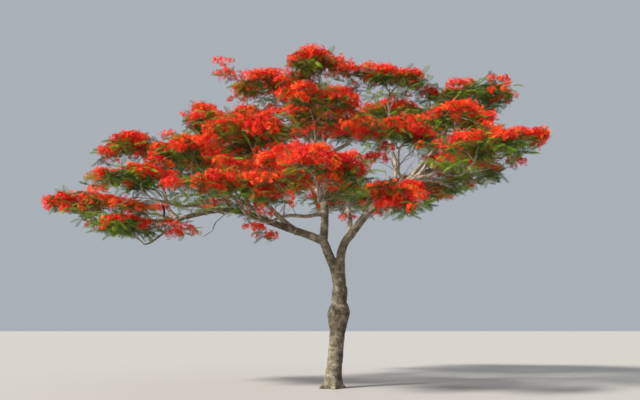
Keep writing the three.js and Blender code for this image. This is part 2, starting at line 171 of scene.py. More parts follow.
RUN_COST = 0.3
TURN_COST = 0.9
BOUGH_BUDS = 9  # places on a bough's outer part where twigs may spring
FIRST_BUD = 0.5
BUD_RUN = 0.25

LIMB_SEED = 11
BOUGH_SEED = 101
MASS_SEED = 1001

# The two tables are the source's, and the list over each names its columns
LIMB_COLUMNS = "name parent at bearing reach height foot tip follow rise bow".split()
LIMBS = [
    ["west_limb", "trunk", 0.96, 180, 220, 3860, 155, 135, 0.45, 70, 0],
    ["east_limb", "trunk", 0.96, 0, 440, 3920, 145, 130, 0.5, 52, 0],
]
CROWN_COLUMNS = "mass parent at bearing reach height spread bloom follow rise bow".split()
CROWN = [
    ["top", "west_limb", 1, 223, 510, 8560, 1300, 0.75, 0, 80, 0],
    ["west_tip", "west_limb", 0.98, 184, 6800, 4640, 1050, 0.75, 0.3, 4, 0.1],
    ["east_tip", "east_limb", 1, 346, 5100, 6200, 1000, 0.75, 0.6, 2, 0.16],
    ["west_low", "west_bough", 0.62, 194, 5350, 3920, 950, 0.35, 0.45, 0, 0.15],
    ["west_high", "west_bough", 0.66, 181, 5530, 6280, 1200, 0.75, 0.3, 50, -0.1],
    ["southwest_outer", "west_bough", 0.45, 204, 5300, 4950, 1050, 0.5, 0.45, 15, 0.1],
    ["southwest_low", "leader", 0.16, 235, 3990, 4370, 1200, 0.75, 0, 12, 0.1],
    ["west_mid", "leader", 0.38, 203, 4000, 5700, 1200, 0.65, 0.45, 10, 0.12],
    ["west_top", "leader", 0.42, 176, 3380, 7180, 1250, 0.7, 0.45, 15, 0.15],
    ["sprig", "west_top_bough", 0.55, 178, 2970, 8680, 550, 0.9, 0.45, 60, -0.1],
    ["top_west", "leader", 0.55, 182, 1950, 8200, 1100, 0.8, 0.45, 60, 0],
    ["top_east", "east_bough", 0.3, 2, 1800, 8350, 1200, 0.55, 0.7, 80, 0],
    ["south_mid", "leader", 0.4, 258, 2350, 6750, 1300, 0.7, 0.45, 30, 0.08],
    ["southwest_mid", "leader", 0.3, 232, 3400, 5850, 1200, 0.75, 0.45, 25, 0.1],
    ["south_low", "leader", 0.28, 265, 4240, 4600, 1250, 0.8, 0.45, 10, 0.15],
    ["southeast", "east_bough", 0.36, 303, 2950, 5950, 1050, 0.8, 0.45, 30, 0.05],
    ["southeast_low", "east_bough", 0.16, 292, 3850, 4300, 800, 0.85, 0.45, 5, 0.12],
    ["southeast_outer", "east_bough", 0.45, 315, 4700, 5400, 1100, 0.6, 0.45, 5, 0.1],
    ["east_mid", "east_bough", 0.5, 334, 3530, 6620, 1200, 0.6, 0.45, 35, 0],
    ["east_top", "east_bough", 0.42, 9, 4500, 8150, 1450, 0.15, 0.45, 45, 0],
    ["northwest", "west_bough", 0.12, 146, 4600, 6500, 1600, 0.5, 0.45, 15, 0.15],
    ["northwest_top", "leader", 0.45, 150, 2900, 7400, 1350, 0.6, 0.45, 30, 0.1],
    ["north_west", "leader", 0.22, 113, 4700, 6550, 1600, 0.5, 0.45, 15, 0.2],
    ["north_top", "leader", 0.5, 92, 2500, 7850, 1450, 0.6, 0.45, 40, 0.1],
    ["north", "east_limb", 0.95, 84, 4800, 5900, 1500, 0.5, 0.45, 10, 0.2],
    ["north_east", "east_bough", 0.12, 58, 5000, 6000, 1500, 0.5, 0.45, 10, 0.2],
    ["northeast_top", "leader", 0.47, 50, 2900, 7950, 1400, 0.6, 0.45, 35, 0.1],
    ["northeast", "east_bough", 0.3, 30, 5250, 6200, 1450, 0.45, 0.45, 10, 0.2],
]
MAIN_BOUGHS = {
    "top": ("leader", 120, 40),
    "west_tip": ("west_bough", 110, 28),
    "east_tip": ("east_bough", 115, 28),
}
FOOT_PER_SPREAD = 0.048
TIP_PER_SPREAD = 0.021
STOUT_LIMBS = ["west_limb", "east_limb", "leader", "west_bough", "east_bough"]

# The wood's surface
VOXEL = 0.0185
SMOOTHING = 4
SOLE = 0.004  # corners lower than this stay at their height
FULL_RELIEF = 0.17  # wood with a smaller radius than this has a lower relief
LUMP = 0.012
LUMP_SCALE = 5.5
SMALL_LUMP_SCALE = 13
RIDGE = 0.004
RIDGE_SCALE = (26, 26, 15)
WRINKLE = 0.0045  # shallow rings round the wood
WRINKLE_SCALE = (4, 4, 30)
TRUNK_REACH = 0.5  # the trunk's own relief ends this far from its line
CREASE_HEIGHT = 2.17  # the fold over the burl
CREASE_DEPTH = 0.02
CREASE_WIDTH = 0.045
CREASE_SWAY = 0.03
FOLD_CENTRE = (0.02, -0.17, 1.93)  # the ear-shaped fold on the burl's front
FOLD_DEPTH = 0.016
FOLD_PITCH = 0.085
FOLD_REACH = 0.15
FOLD_STRETCH = (1, 1, 0.8)
TOE_REACH = 0.05
TOE_HEIGHT = 0.09

# Bark: shades from dark to pale, and how fine its patches are
BARKS = {
    "bark_trunk": ([(0.08, 0.067, 0.046), (0.185, 0.16, 0.118), (0.36, 0.325, 0.26)], 1),
    "bark_bough": ([(0.20, 0.165, 0.13), (0.37, 0.315, 0.25), (0.55, 0.48, 0.40)], 1.6),
    "bark_twig": ([(0.24, 0.195, 0.15), (0.42, 0.355, 0.28), (0.60, 0.52, 0.43)], 2.2),
    "pod": ([(0.035, 0.018, 0.010), (0.075, 0.035, 0.018), (0.13, 0.07, 0.035)], 3),
}
BARK_FINISH = {"roughness": 0.86, "specular": 0.2}
PATCHES = {"scale": 5.5, "detail": 9, "stretch": (1, 1, 1)}
PATCH_LEVELS = (0.34, 0.5, 0.7)
BLOTCHES = {"scale": 17, "detail": 8, "stretch": (1, 1, 1), "weight": 0.8,
            "stops": [(0.38, (0.60, 0.58, 0.54)), (0.60, (1.12, 1.12, 1.06))]}
RINGS = {"scale": 5, "detail": 4, "stretch": (0.7, 0.7, 7), "weight": 0.7,
         "stops": [(0.36, (0.74, 0.73, 0.72)), (0.58, (1.06, 1.06, 1.05))]}
GRAIN = {"scale": 70, "detail": 6, "stretch": (1, 1, 0.6), "weight": 0.7,
         "stops": [(0.36, (0.66, 0.64, 0.62)), (0.64, (1.14, 1.13, 1.12))]}
BUMPS = {"scale": 48, "detail": 8, "stretch": (1, 1, 1.4), "strength": 0.5, "distance": 0.01}

# Petals and leaves: glow is the share of the light that comes through
REDS = {"scarlet": (0.9, 0.045, 0.012), "crimson": (0.66, 0.017, 0.012), "orange": (0.95, 0.12, 0.016)}
RED_SHARES = [0.5, 0.22, 0.28]
PETAL_ROUGHNESS = 0.5
PETAL_GLOW = 0.18
# Leaf greens: the first is a painted sunlit green, the second the leaves' own green and the last a painted
# shade green; high sites take more of the painted sunlit green, low sites more of the painted shade green
GREENS = {"painted_sunlit": (0.24, 0.35, 0.024), "mid": (0.12, 0.2, 0.016), "deep": (0.045, 0.08, 0.01)}
HIGH_DROP = 0.5  # a site with a smaller drop than this lies high in its mass, and its leaves take the painted sunlit green more often
HIGH_PAINTED_SUN_SHARES = [0.45, 0.4, 0.15]
LOW_PAINTED_SHADE_SHARES = [0.15, 0.45, 0.4]
LEAF_ROUGHNESS = 0.55
LEAF_GLOW = 0.12
SOFT_SPECULAR = 0.25

# Stems, twigs and the shoots at their ends
TWIG_RADIUS = 0.0066
PIPE_POWER = 0.45
STEM_THICKENING = 1.1
STEM_ARCH = 0.02
TWIG_CROOK = 0.02
THICK_TWIG = 0.014  # thinner twigs get fewer sides
FLOWERING = {"shoots": 8, "blooming": 0.84}  # shoots on a twig, and the share of them with flowers
LEAFY = {"shoots": 4, "blooming": 0.12}
VIGOUR = (0.5, 1.15)
SMALL_VIGOUR = 0.3
OUTWARD_FLATNESS = 0.6
FAN_START = 15  # a shoot's least angle from the upright
FAN_BREADTH = 85
SHOOT_OUTWARD = 0.35
SHOOT_AHEAD = 0.15
SHOOT_REACH = (0.06, 0.28)
SHOOT_VARIATION = (0.75, 1.15)
SHOOT_FLATNESS = 0.42  # how little of a shoot's reach goes upwards
SHOOT_SAG = 0.12
SHOOT_RADII = (0.0042, 0.00252)

# Side sprays and bare twigs: how many to the metre, where they start and how they point
SPRAYS = {"per_metre": 2, "first": 0.5, "slack": (0.2, 0.8), "reach": (0.4, 1.0),
          "ahead": 0.8, "aside": 0.9, "lift": 0.42, "lift_swing": 0.55}
SPRAY_BLOOM = 0.7
SPRAY_ARCH = 0.14
SPRAY_CROOK = 0.025
SPRAY_RADII = (0.017, 0.007)
LEAST_RISE = -0.1  # how far a spray may point down
LEAST_RISE_MAIN = -0.5  # on a main bough
LEAST_RISE_LOW = 0.35  # on a bough to a mass whose middle is lower than the next value
LOW_CENTRE = 4.7
BARE_TWIGS = {"per_metre": 1.7, "first": 0.15, "slack": (0.1, 0.9), "reach": (0.5, 1.15),
              "ahead": 0.9, "aside": 1, "lift": 0.45, "lift_swing": 0.7}
BARE_RADIUS = 0.011
BARE_TAPER = 0.45
BARE_CROOK = 0.09
BARE_FORKS = 2
BARE_FORK_AT = (0.3, 0.85)
BARE_FORK_TURN = 0.5
BARE_FORK_RISE = -0.15
BARE_FORK_REACH = (0.45, 0.75)
BARE_FORK_RADIUS = 0.6

# What hangs under the boughs: small sprays, a dead twig and a seed pod
HANGING_AT = (0.27, 0.34, 0.6, 0.7, 0.8, 0.88)  # of the bough's length
HANGING_REACH = [(-0.2, 0.2), (-0.3, 0.1), (0.28, 0.5)]  # limits to the east, to the north and down
HANGING_BEND = 0.08
HANGING_RADII = (0.010, 0.005)
DEAD_TWIG_AT = 0.4
DEAD_TWIG = [(0, 0, 0.02), (-0.26, -0.1, -0.12), (-0.49, -0.14, -0.34), (-0.57, -0.16, -0.58),
             (-0.8, -0.2, -0.74)]
DEAD_TWIG_RADII = (0.017, 0.009)
DEAD_FORK_WAY = (-0.3, -0.2, -0.9)
DEAD_FORK_REACH = 0.22
DEAD_FORK_RADIUS = 0.008
POD_AT = 0.86
POD_TOP = (0, -0.05, -0.08)  # from the bough's line
POD_LINE = (0.06, -0.03, -0.34)
POD_BEND = (0.03, 0, 0)
POD_WIDTH = 0.026
POD_ENDS = (0.06, 0.97)  # of the half wave that its outline follows
POD_FLATNESS = 0.35
POD_STEPS = 7
STALK_RADIUS = 0.004

# Flowers, with parts of a petal in its own length, and their trusses
PETAL = 0.06
PETALS = 5
PETAL_FOOT = 0.06
PETAL_BELLY = 0.68
PETAL_HALF_WIDTH = 0.27
FLOWER_SHAPES = [(0.24, 0.10), (0.10, -0.12), (0.36, 0.34)]  # heights of the petals' belly and tip
FLOWER_SIZE = (0.85, 1.15)
FLOWER_SWAY = 0.42
FLOWER_MARGIN = 0.036  # least distance from the CAD box's sides
FLOWERS_IN_TRUSS = (8, 12)
TRUSS_RADIUS = 0.15
TRUSS_DEPTH = (0.25, 1.1)
TRUSS_FLATNESS = 0.8
TRUSS_COVER = 1.25
TRUSS_LIFT = 0.7

# Fronds: a rib with pairs of blades
FROND_LENGTH = 0.4
FROND_WIDTH = 0.25
FROND_SLOPES = [(35, -5), (22, -22), (10, -38), (0, -55)]  # at the rib's foot and tip, in degrees
RIB_STEPS = 3
RIB_HALF_WIDTH = 0.0035
RIB_TAPER = 0.7
BLADE_PAIRS = 8
OUTLINE_START = 0.22  # of the half wave that a frond's outline follows
OUTLINE_RUN = 0.68
OUTLINE_POWER = 0.7
BLADE_ASIDE = 0.9
BLADE_AHEAD = 0.3
BLADE_AHEAD_RISE = 0.45
BLADE_DROOP = 0.62
BLADE_HALF_WIDTH = 0.34
BLADE_FOLD = 0.14
LEAFY_WHORL = {"count": 5, "size": (0.6, 1.05), "tilt": (-24, 22)}  # tilts in degrees
UNDER_WHORL = {"count": 1, "size": (0.5, 0.85), "tilt": (-38, -4)}  # under a flowering twig's shoots
BEARING_SWAY = 0.25
ROLL_SWAY = 0.2
FROND_CLEARANCE = 0.05
FROND_REACH = 0.32
FROND_FALL = 0.4
FROND_END_MARGIN = 0.02
FROND_MARGIN = 0.1

MOST_TRIANGLES = 190000  # in one piece
GOLDEN_ANGLE = math.pi * (3 - math.sqrt(5))
UP = np.array([0.0, 0.0, 1.0])
rng = np.random.default_rng(9)


# Camera, floor and light

def make_camera():
    middle_row = FRAME_HEIGHT / 2
    tilt = math.atan((HORIZON_ROW - middle_row) / FOCAL_PIXELS)
    fall = math.atan((FOOT_ROW - middle_row) / FOCAL_PIXELS) - tilt
    distance = EYE_HEIGHT / math.tan(fall)
    depth = distance * math.cos(tilt) - EYE_HEIGHT * math.sin(tilt)
    side = -(FOOT_COLUMN - FRAME_WIDTH / 2) * depth / FOCAL_PIXELS
    data = bpy.data.cameras.new("camera")
    data.sensor_width = SENSOR_WIDTH
    data.lens = FOCAL_PIXELS / FRAME_WIDTH * SENSOR_WIDTH
    camera = bpy.data.objects.new("camera", data)
    camera.location = (side, -distance, EYE_HEIGHT)
    camera.rotation_euler = (math.pi / 2 + tilt, 0, 0)
    bpy.context.scene.collection.objects.link(camera)
    bpy.context.scene.camera = camera


def add_sun(name, energy, softness, colour, toward):
    data = bpy.data.lights.new(name, "SUN")
    data.energy = energy
    data.angle = math.radians(softness)
    data.color = colour
    lamp = bpy.data.objects.new(name, data)
    lamp.rotation_euler = Vector(toward).to_track_quat("-Z", "Y").to_euler()
    bpy.context.scene.collection.objects.link(lamp)


def make_light():
    add_sun("key", **KEY_SUN)
    add_sun("side", **SIDE_SUN)
    world = bpy.data.worlds.new("sky")
    world.use_nodes = True
    background = world.node_tree.nodes["Background"]
    set_inputs(background, Color=(*SKY_COLOUR, 1), Strength=SKY_STRENGTH)
    bpy.context.scene.world = world
    bpy.context.scene.view_settings.view_transform = "Standard"


def make_floor():
    corners = FLOOR_HALF * np.array([(-1, -1, 0), (1, -1, 0), (1, 1, 0), (-1, 1, 0)])
    material, _, shader = new_material("floor", **FLOOR_FINISH)
    set_inputs(shader, Base_Color=(*FLOOR_COLOUR, 1))
    floor = add_mesh("floor", corners, np.array([[0, 1, 2, 3]]), material)
    floor.location.z = -FLOOR_GAP
    floor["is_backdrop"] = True


# Materials

def set_inputs(node, **values):
    """Sets a node's own sockets. Their names are given with _ for a space."""
    for name, value in values.items():
        node.inputs[name.replace("_", " ")].default_value = value


def new_material(name, roughness, specular):
    material = bpy.data.materials.new(name)
    material.use_nodes = True
    shader = material.node_tree.nodes["Principled BSDF"]
    set_inputs(shader, Roughness=roughness, Specular_IOR_Level=specular)
    return material, material.node_tree, shader


def noise_node(tree, look, finer=1):
    coords = tree.nodes.new("ShaderNodeTexCoord")
    mapping = tree.nodes.new("ShaderNodeMapping")
    set_inputs(mapping, Scale=look["stretch"])
    texture = tree.nodes.new("ShaderNodeTexNoise")
    set_inputs(texture, Scale=look["scale"] * finer, Detail=look["detail"])
    tree.links.new(coords.outputs["Object"], mapping.inputs["Vector"])
    tree.links.new(mapping.outputs["Vector"], texture.inputs["Vector"])
    return texture.outputs["Fac"]


def ramp_node(tree, value, stops):
    ramp = tree.nodes.new("ShaderNodeValToRGB")
    elements = ramp.color_ramp.elements
    elements[0].position, elements[0].color = stops[0][0], (*stops[0][1], 1)
    elements[1].position, elements[1].color = stops[-1][0], (*stops[-1][1], 1)
    for position, colour in stops[1:-1]:
        element = elements.new(position)
        element.color = (*colour, 1)
    tree.links.new(value, ramp.inputs["Fac"])
    return ramp.outputs["Color"]


def multiply_node(tree, weight, first, second):
    """One colour multiplied by another: inputs 6 and 7 and output 2 are the node's colours."""
    mix = tree.nodes.new("ShaderNodeMix")
    mix.data_type = "RGBA"
    mix.blend_type = "MULTIPLY"
    set_inputs(mix, Factor=weight)
    tree.links.new(first, mix.inputs[6])
    tree.links.new(second, mix.inputs[7])
    return mix.outputs[2]


def bark_material(name):
    """Smooth grey bark: broad patches, speckles, faint rings and a fine grain."""
    shades, finer = BARKS[name]
    material, tree, shader = new_material(name, **BARK_FINISH)
    colour = ramp_node(tree, noise_node(tree, PATCHES, finer), list(zip(PATCH_LEVELS, shades)))
    for look in (BLOTCHES, RINGS, GRAIN):
        value = noise_node(tree, look, finer if look is BLOTCHES else 1)
        colour = multiply_node(tree, look["weight"], colour, ramp_node(tree, value, look["stops"]))
    tree.links.new(colour, shader.inputs["Base Color"])
    bump = tree.nodes.new("ShaderNodeBump")
    set_inputs(bump, Strength=BUMPS["strength"], Distance=BUMPS["distance"])
    tree.links.new(noise_node(tree, BUMPS), bump.inputs["Height"])
    tree.links.new(bump.outputs["Normal"], shader.inputs["Normal"])
    return material


def soft_material(name, colour, roughness, glow):
    """A petal or leaf of one colour, lit through by a share of the light behind it."""
    material, tree, shader = new_material(name, roughness, SOFT_SPECULAR)
    set_inputs(shader, Base_Color=(*colour, 1))
    through = tree.nodes.new("ShaderNodeBsdfTranslucent")
    set_inputs(through, Color=(*colour, 1))
    mix = tree.nodes.new("ShaderNodeMixShader")
    set_inputs(mix, Fac=glow)
    tree.links.new(shader.outputs["BSDF"], mix.inputs[1])
    tree.links.new(through.outputs["BSDF"], mix.inputs[2])
    tree.links.new(mix.outputs["Shader"], tree.nodes["Material Output"].inputs["Surface"])
    return material


# Meshes from arrays

def add_mesh(name, corners, faces, material, smooth=False):
    mesh = bpy.data.meshes.new(name)
    count, sides = faces.shape
    mesh.vertices.add(len(corners))
    mesh.vertices.foreach_set("co", corners.astype(np.float32).ravel())
    mesh.loops.add(count * sides)
    mesh.loops.foreach_set("vertex_index", faces.astype(np.int32).ravel())
    mesh.polygons.add(count)
    mesh.polygons.foreach_set("loop_start", np.arange(0, count * sides, sides, dtype=np.int32))
    mesh.polygons.foreach_set("use_smooth", np.full(count, smooth))
    mesh.update(calc_edges=True)
    mesh.validate()
    mesh.materials.append(material)
    thing = bpy.data.objects.new(name, mesh)
    bpy.context.scene.collection.objects.link(thing)
    return thing


def unit(v):
    return v / norm(v)


def level(angle):
    return np.array([math.cos(angle), math.sin(angle), 0])


def tube(path, radii, sides, closed=True):
    """Corners and triangles of a tube along a path, with a fan over each end."""
    path = np.asarray(path, float)
    count = len(path)
    ahead = np.gradient(path, axis=0)
    ahead /= norm(ahead, axis=1)[:, None]
    side = np.array([0.0, 1, 0] if abs(ahead[0][0]) > 0.9 else [1.0, 0, 0])
    turn = np.arange(sides) * math.tau / sides
    rings = np.empty((count, sides, 3))
    for i in range(count):
        side = unit(side - side.dot(ahead[i]) * ahead[i])
        other = np.cross(ahead[i], side)
        rings[i] = path[i] + radii[i] * (np.cos(turn)[:, None] * side + np.sin(turn)[:, None] * other)
    start = np.arange(count - 1)[:, None] * sides
    here = np.arange(sides)
    after = (here + 1) % sides
    a, b = (start + here).ravel(), (start + after).ravel()
    faces = np.concatenate([np.stack([a, b, b + sides], 1), np.stack([a, b + sides, a + sides], 1)])
    corners = rings.reshape(-1, 3)
    if closed:
        corners = np.concatenate([corners, path[[0]], path[[-1]]])
        middle, last = np.full(sides, count * sides), (count - 1) * sides
        low = np.stack([after, here, middle], 1)
        high = np.stack([last + here, last + after, middle + 1], 1)
        faces = np.concatenate([faces, low, high])
    return corners, faces


def joined(parts):
    """Many (corners, faces) pairs as one."""
    corners = np.concatenate([p[0] for p in parts])
    shifts = np.cumsum([0] + [len(p[0]) for p in parts[:-1]])
    faces = np.concatenate([p[1] + s for p, s in zip(parts, shifts)])
    return corners, faces


def scattered(template, places, turns, sizes):
    """One template copied to many places, each with its own rotation matrix and size."""
    corners, faces = template
    moved = np.einsum("nij,vj->nvi", turns, corners) * sizes[:, None, None] + places[:, None, :]
    shifts = np.arange(len(places)) * len(corners)
    return moved.reshape(-1, 3), (faces[None] + shifts[:, None, None]).reshape(-1, 3)


# The source's rule

def stream(seed):
    """The source's seeded numbers between 0 and 1."""
    state = seed & 0xFFFFFFFF
    while True:
        state = (state + 0x6D2B79F5) & 0xFFFFFFFF
        t = state
        t = ((t ^ (t >> 15)) * (t | 1)) & 0xFFFFFFFF
        t ^= (t + (((t ^ (t >> 7)) * (t | 61)) & 0xFFFFFFFF)) & 0xFFFFFFFF
        yield ((t ^ (t >> 14)) & 0xFFFFFFFF) / 4294967296


def polar(bearing, reach, height):
    return (level(math.radians(bearing)) * reach + UP * height) * MM


def along(path, share):
    place = share * (len(path) - 1)
    i = min(int(place), len(path) - 2)
    return path[i] + (path[i + 1] - path[i]) * (place - i), unit(path[i + 1] - path[i])


def limb_path(start, heading, habit, tip, crook, seed, steps):
    chord = tip - start
    length = norm(chord)
    out = unit(chord * [1, 1, 0])
    leave = unit(heading * habit["follow"] + chord / length * (1 - habit["follow"]))
    slope = math.radians(habit["rise"])
    arrive = out * math.cos(slope) + UP * math.sin(slope)
    pulls = [start, start + leave * length * LEAVE_PULL, tip - arrive * length * ARRIVE_PULL, tip]
    side = np.array([-out[1], out[0], 0])
    draw = stream(seed)
    phases = [next(draw) * math.tau, next(draw) * math.tau]
    path = []
    for i in range(steps + 1):
        t = i / steps
        swell = math.sin(math.pi * t)
        weights = [(1 - t) ** 3, 3 * (1 - t) ** 2 * t, 3 * (1 - t) * t * t, t**3]
        sway = crook * length * swell * math.sin(math.tau * SWAY_WAVES * t + phases[0])
        nod = NOD_SHARE * crook * length * swell * math.sin(math.tau * NOD_WAVES * t + phases[1])
        point = sum(w * p for w, p in zip(weights, pulls))
        path.append(point + side * sway + UP * (habit["bow"] * BOW_SHARE * length * swell + nod))
    return np.array(path)


def mouth_of(centre, spread, start):
    to_centre = (centre - start) * [1, 1, 0]
    reach = norm(to_centre)
    steep = 1 - min(1, reach)
    inward = to_centre / max(reach, 1e-9) * spread * ENTRY_IN * (1 - steep)
    return centre - inward - UP * spread * FLATNESS * (ENTRY_DOWN + STEEP_DROP * steep)


def trunk_axis(z):
    share = z / (FORK_HEIGHT * MM)
    return np.array([TRUNK_LEAN * MM * (share + LEAN_BOW * math.sin(math.pi * share)), 0, z])


def trunk_radius(z, angle):
    high = max(z, 0) / MM
    flare = math.exp(-high / FLARE_HEIGHT)
    lobes = 1 + LOBE_DEPTH * flare * math.cos(ROOT_LOBES * angle + LOBE_TURN)
    reach = BURL_REACH if high < BURL_HEIGHT else BURL_RISE
    uneven = 1 + BURL_UNEVENNESS * math.cos(2 * angle + BURL_TURN)
    bulge = math.exp(-(((high - BURL_HEIGHT) / reach) ** 2)) * uneven
    near = min(max((high - WIDENING_HEIGHT) / (SHOULDER_HEIGHT - WIDENING_HEIGHT), 0), 1)
    fork = 1 + FORK_WIDENING * near * near * (3 - 2 * near) * math.cos(angle) ** 2
    rise = min(max(0, high - SHOULDER_HEIGHT) / SHOULDER_DEPTH, 0.999)
    shaft = (SHAFT_RADIUS + FLARE_RADIUS * flare) * lobes + BURL_RADIUS * bulge
    return shaft * fork * math.sqrt(1 - rise * rise) * MM


def lay_out():
    """Every limb with its coarse and fine line and radii, and every mass with its middle."""
    heights = [FORK_HEIGHT * MM * i / STEPS for i in range(STEPS + 1)]
    limbs = {"trunk": {"path": np.array([trunk_axis(z) for z in heights])}}
    masses = []

    def grow(name, row, tip_from, foot, end, crook, seed):
        start, heading = along(limbs[row["parent"]]["path"], row["at"])
        tip = tip_from(start)
        limbs[name] = {
            "path": limb_path(start, heading, row, tip, crook, seed, STEPS),
            "fine": limb_path(start, heading, row, tip, crook, seed, FINE_STEPS),
            "radii": np.linspace(foot * MM, end * MM, FINE_STEPS + 1),
            "collar": 0 if row["at"] > LEADING else COLLAR,
            "collar_length": FORK_COLLAR_LENGTH if row["parent"] == "trunk" else COLLAR_LENGTH,
        }
        return tip

    for k, values in enumerate(LIMBS):
        row = dict(zip(LIMB_COLUMNS, values))
        place = polar(row["bearing"], row["reach"], row["height"])
        foot, end = row["foot"] * FORK_SLIMMING, row["tip"] * FORK_SLIMMING
        grow(row["name"], row, lambda start: place, foot, end, LIMB_CROOK, LIMB_SEED + k)
    for k, values in enumerate(CROWN):
        row = dict(zip(CROWN_COLUMNS, values))
        spread = row["spread"] * MM
        own = (row["mass"] + "_bough", row["spread"] * FOOT_PER_SPREAD, row["spread"] * TIP_PER_SPREAD)
        name, foot, end = MAIN_BOUGHS.get(row["mass"], own)
        centre = polar(row["bearing"], row["reach"], row["height"])
        mouth = grow(name, row, lambda start: mouth_of(centre, spread, start), foot, end,
                     BOUGH_CROOK, BOUGH_SEED + k)
        masses.append({"name": row["mass"], "line": limbs[name]["fine"], "centre": centre, "mouth": mouth,
                       "spread": spread, "bloom": row["bloom"], "stem": end * MM, "seed": MASS_SEED + k})
    return limbs, masses


def in_space(point, k, centres, spreads, slack=0):
    """Whether a point is in the space of mass k, and not too near to another's."""
    shape = [1, 1, FLATNESS]
    values = (((point - centres) / shape) ** 2).sum(-1) - spreads**2
    apart = norm((centres - centres[k]) / shape, axis=1)
    others = np.arange(len(centres)) != k
    most = (spreads[k] + slack) ** 2 - spreads[k] ** 2
    return values[k] <= most and np.all((values - values[k] > 2 * apart * CELL_GAP * MM)[others])


def sites_of(mass):
    count = max(LEAST_SITES, round(SITES_PER_SQUARE_METRE * mass["spread"] ** 2))
    draw = stream(mass["seed"])
    shifts = [next(draw), next(draw), next(draw)]
    reach = max(LEAST_SITE_REACH * MM, mass["spread"] - RIM * MM)
    depth = max(LEAST_SITE_REACH * MM, mass["spread"] * FLATNESS - TOP_RIM * MM)
    level_drop = LEVEL_DROP if mass["spread"] > SMALL_SPREAD else ROUND_DROP
    sites = []
    for i in range(count):
        inward, turn, drop = ((shift + i * step) % 1 for shift, step in zip(shifts, EVEN_STEPS))
        ring = math.sqrt(inward)
        angle = math.tau * turn
        dome = math.sqrt(1 - DOME_FALL * ring * ring)
        offset = level(angle) * reach * ring + UP * depth * (dome - level_drop * drop)
        sites.append({"point": mass["centre"] + offset, "drop": drop})
    for rank, site in enumerate(sorted(sites, key=lambda site: site["drop"])):
        site["flowers"] = rank < round(count * mass["bloom"])
    return sites


def seam_sites(masses):
    """Extra sites where two neighbouring masses meet, shared out between them."""
    extra = [[] for _ in masses]
    for (i, one), (j, two) in itertools.combinations(enumerate(masses), 2):
        way = (two["centre"] - one["centre"]) / [1, 1, FLATNESS]
        apart = norm(way)
        small = min(one["spread"], two["spread"]) < SMALL_SPREAD
        if small or apart > one["spread"] + two["spread"] + SEAM_GAP:
            continue
        share = 0.5 + (one["spread"] ** 2 - two["spread"] ** 2) / (2 * apart * apart)
        radius = math.sqrt(max(SEAM_LEAST, one["spread"] ** 2 - (share * apart) ** 2))
        for _ in range(round(SEAM_SITES * radius)):
            offset = rng.uniform(-SEAM_BREADTH, SEAM_BREADTH, 3) * radius
            offset -= way * offset.dot(way) / apart**2
            place = share + rng.uniform(-SEAM_DEPTH, SEAM_DEPTH) / apart
            point = one["centre"] + (way * place + offset) * [1, 1, FLATNESS]
            near = i if place < share else j
            flowers = rng.uniform() < masses[near]["bloom"]
            extra[near].append({"point": point, "drop": rng.uniform(), "flowers": flowers})
    return extra


def twig_node(point, run, ahead, below=None):
    return {"point": point, "run": run, "ahead": ahead, "below": below, "tips": 0}


def grow_twigs(k, masses, seams):
    """Joins each site, nearest first, to the twig that gives it the shortest and straightest way."""
    mass = masses[k]
    centres = np.array([one["centre"] for one in masses])
    spreads = np.array([one["spread"] for one in masses])
    hub = mass["mouth"] + (mass["centre"] - mass["mouth"]) * HUB_SHARE
    nodes = [twig_node(hub, 0, unit(hub - mass["mouth"]))]
    for share in np.linspace(FIRST_BUD, 1, BOUGH_BUDS):
        place, heading = along(mass["line"], share)
        nodes.append(twig_node(place, BUD_RUN, heading))
    twigs = []
    own = [site for site in sites_of(mass) if in_space(site["point"], k, centres, spreads)]
    own += [site for site in seams[k] if in_space(site["point"], k, centres, spreads, SEAM_SLACK)]
    for site in sorted(own, key=lambda s: norm(s["point"] - hub)):
        if noise.noise(Vector(site["point"]) * GAP_SCALE) < GAP_LEVEL:
            continue
        points = np.array([node["point"] for node in nodes])
        ways = site["point"] - points
        gaps = norm(ways, axis=1) + 1e-6
        heads = np.array([node["ahead"] for node in nodes])
        turns = 1 - (ways * heads).sum(1) / gaps
        costs = gaps * (1 + TURN_COST * 0.5 * turns) + RUN_COST * np.array([node["run"] for node in nodes])
        best = int(np.argmin(costs))
        below = nodes[best]
        middle = (below["point"] + site["point"]) / 2 + UP * TWIG_ARCH * gaps[best]
        run = below["run"] + gaps[best]
        half = twig_node(middle, run - gaps[best] / 2, unit(middle - below["point"]), below)
        end = twig_node(site["point"], run, unit(site["point"] - middle), half)
        nodes += [half, end]
        node = end
        while node:
            node["tips"] += 1
            node = node["below"]
        twigs.append({"from": below, "half": half, "end": end, "site": site})
    return hub, twigs


# Wood

def limb_tube(limb, sides):
    path = limb["fine"]
    run = np.concatenate([[0], np.cumsum(norm(np.diff(path, axis=0), axis=1))])
    swell = 1 + limb["collar"] * np.exp(-run / limb["collar_length"])
    return tube(path, limb["radii"] * swell, sides)


def trunk_tube():
    heights = np.linspace(TRUNK_START * MM, TRUNK_TOP * MM, TRUNK_STEPS)
    axis = np.array([trunk_axis(z) for z in heights])
    corners, faces = tube(axis, np.ones(TRUNK_STEPS), TRUNK_SIDES)
    for i, z in enumerate(heights):
        for j in range(TRUNK_SIDES):
            angle = math.tau * j / TRUNK_SIDES
            corners[i * TRUNK_SIDES + j] = axis[i] + level(angle) * trunk_radius(z, angle)
    return corners, faces


def nearest_radius(limbs):
    """A lookup of the nearest limb's radius, to scale the bark's relief."""
    points = [(trunk_axis(z), SHAFT_RADIUS * MM) for z in np.arange(0, FORK_HEIGHT * MM, 0.1)]
    for name, limb in limbs.items():
        if name != "trunk":
            points += list(zip(limb["fine"], limb["radii"]))
    tree = kdtree.KDTree(len(points))
    for i, (point, _) in enumerate(points):
        tree.insert(point, i)
    tree.balance()
    return lambda p: points[tree.find(p)[1]][1]


